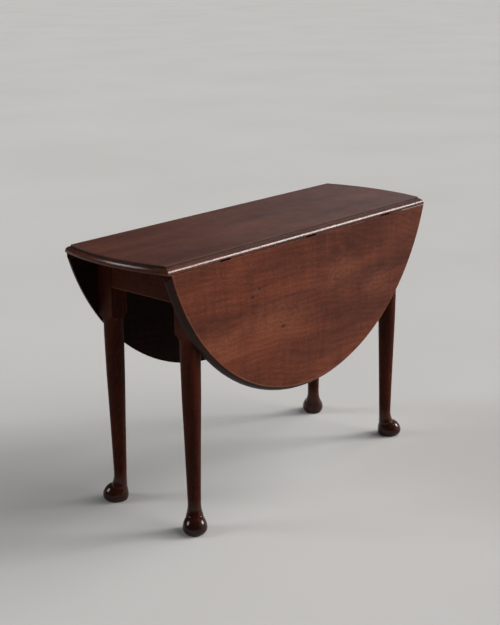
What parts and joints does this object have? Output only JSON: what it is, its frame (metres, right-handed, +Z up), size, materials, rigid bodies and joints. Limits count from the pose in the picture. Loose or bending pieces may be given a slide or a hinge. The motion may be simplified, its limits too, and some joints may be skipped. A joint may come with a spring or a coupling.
{
  "type": "drop leaf table",
  "caption": "Oval drop leaf table: a narrow board with a hanging leaf on each long side, turned tapering legs on pad feet, and gate legs on knuckle joints.",
  "frame": {"origin": "on the floor, under the middle of the board", "axes": "+X along the hinge lines to the right end, +Y to the back leaf, +Z up; the leaves hang down at rest"},
  "size_m": [1.1, 0.377, 0.72],
  "materials": {
    "mahogany_board": "waxed old mahogany, satin",
    "mahogany_leaf": "waxed old mahogany with lengthwise figure, satin",
    "mahogany_frame": "dark polished mahogany, worn glossy on the feet",
    "mahogany_peg": "dark end grain, level with the leg",
    "oak_secondary": "unpolished, dry and dusty",
    "forged_iron": "hand-forged iron with brown patina"
  },
  "bodies": {
    "fixed_frame": {"back_fixed_leg_end_peg_lower": "mahogany_peg", "back_fixed_leg_end_peg_upper": "mahogany_peg", "back_fixed_leg_side_peg_lower": "mahogany_peg", "back_fixed_leg_side_peg_upper": "mahogany_peg", "back_fixed_rail": "mahogany_frame", "back_glue_block_1": "oak_secondary", "back_glue_block_2": "oak_secondary", "back_hinge_1_board_plate": "forged_iron", "back_hinge_1_pin": "forged_iron", "back_hinge_2_board_plate": "forged_iron", "back_hinge_2_pin": "forged_iron", "back_hinge_3_board_plate": "forged_iron", "back_hinge_3_pin": "forged_iron", "back_inner_rail": "oak_secondary", "back_knuckle_pin": "forged_iron", "back_pocket_screw_1": "forged_iron", "back_pocket_screw_2": "forged_iron", "back_right_fixed_leg": "mahogany_frame", "front_fixed_leg_end_peg_lower": "mahogany_peg", "front_fixed_leg_end_peg_upper": "mahogany_peg", "front_fixed_leg_side_peg_lower": "mahogany_peg", "front_fixed_leg_side_peg_upper": "mahogany_peg", "front_fixed_rail": "mahogany_frame", "front_glue_block_1": "oak_secondary", "front_glue_block_2": "oak_secondary", "front_hinge_1_board_plate": "forged_iron", "front_hinge_1_pin": "forged_iron", "front_hinge_2_board_plate": "forged_iron", "front_hinge_2_pin": "forged_iron", "front_hinge_3_board_plate": "forged_iron", "front_hinge_3_pin": "forged_iron", "front_inner_rail": "oak_secondary", "front_knuckle_pin": "forged_iron", "front_left_fixed_leg": "mahogany_frame", "front_pocket_screw_1": "forged_iron", "front_pocket_screw_2": "forged_iron", "left_end_glue_block": "oak_secondary", "left_end_pocket_screw": "forged_iron", "left_end_rail": "mahogany_frame", "right_end_glue_block": "oak_secondary", "right_end_pocket_screw": "forged_iron", "right_end_rail": "mahogany_frame", "top_board": "mahogany_board"},
    "front_leaf_group": {"front_hinge_1_leaf_plate": "forged_iron", "front_hinge_2_leaf_plate": "forged_iron", "front_hinge_3_leaf_plate": "forged_iron", "front_leaf": "mahogany_leaf"},
    "back_leaf_group": {"back_hinge_1_leaf_plate": "forged_iron", "back_hinge_2_leaf_plate": "forged_iron", "back_hinge_3_leaf_plate": "forged_iron", "back_leaf": "mahogany_leaf"},
    "front_gate": {"front_fly_rail": "mahogany_frame", "front_gate_leg_peg_lower": "mahogany_peg", "front_gate_leg_peg_upper": "mahogany_peg", "front_right_gate_leg": "mahogany_frame"},
    "back_gate": {"back_fly_rail": "mahogany_frame", "back_gate_leg_peg_lower": "mahogany_peg", "back_gate_leg_peg_upper": "mahogany_peg", "back_left_gate_leg": "mahogany_frame"}
  },
  "joints": [
    {"name": "front_leaf_hinge", "type": "hinge", "parent": "fixed_frame", "child": "front_leaf_group", "pos_m": [0, -0.1685, 0.7], "axis": [-1, 0, 0], "range_deg": [0, 90]},
    {"name": "back_leaf_hinge", "type": "hinge", "parent": "fixed_frame", "child": "back_leaf_group", "pos_m": [0, 0.1685, 0.7], "axis": [1, 0, 0], "range_deg": [0, 90]},
    {"name": "front_gate_swing", "type": "hinge", "parent": "fixed_frame", "child": "front_gate", "pos_m": [0, -0.1473, 0.65], "axis": [0, 0, -1], "range_deg": [0, 0.4]},
    {"name": "back_gate_swing", "type": "hinge", "parent": "fixed_frame", "child": "back_gate", "pos_m": [0, 0.1473, 0.65], "axis": [0, 0, -1], "range_deg": [0, 0.4]}
  ]
}
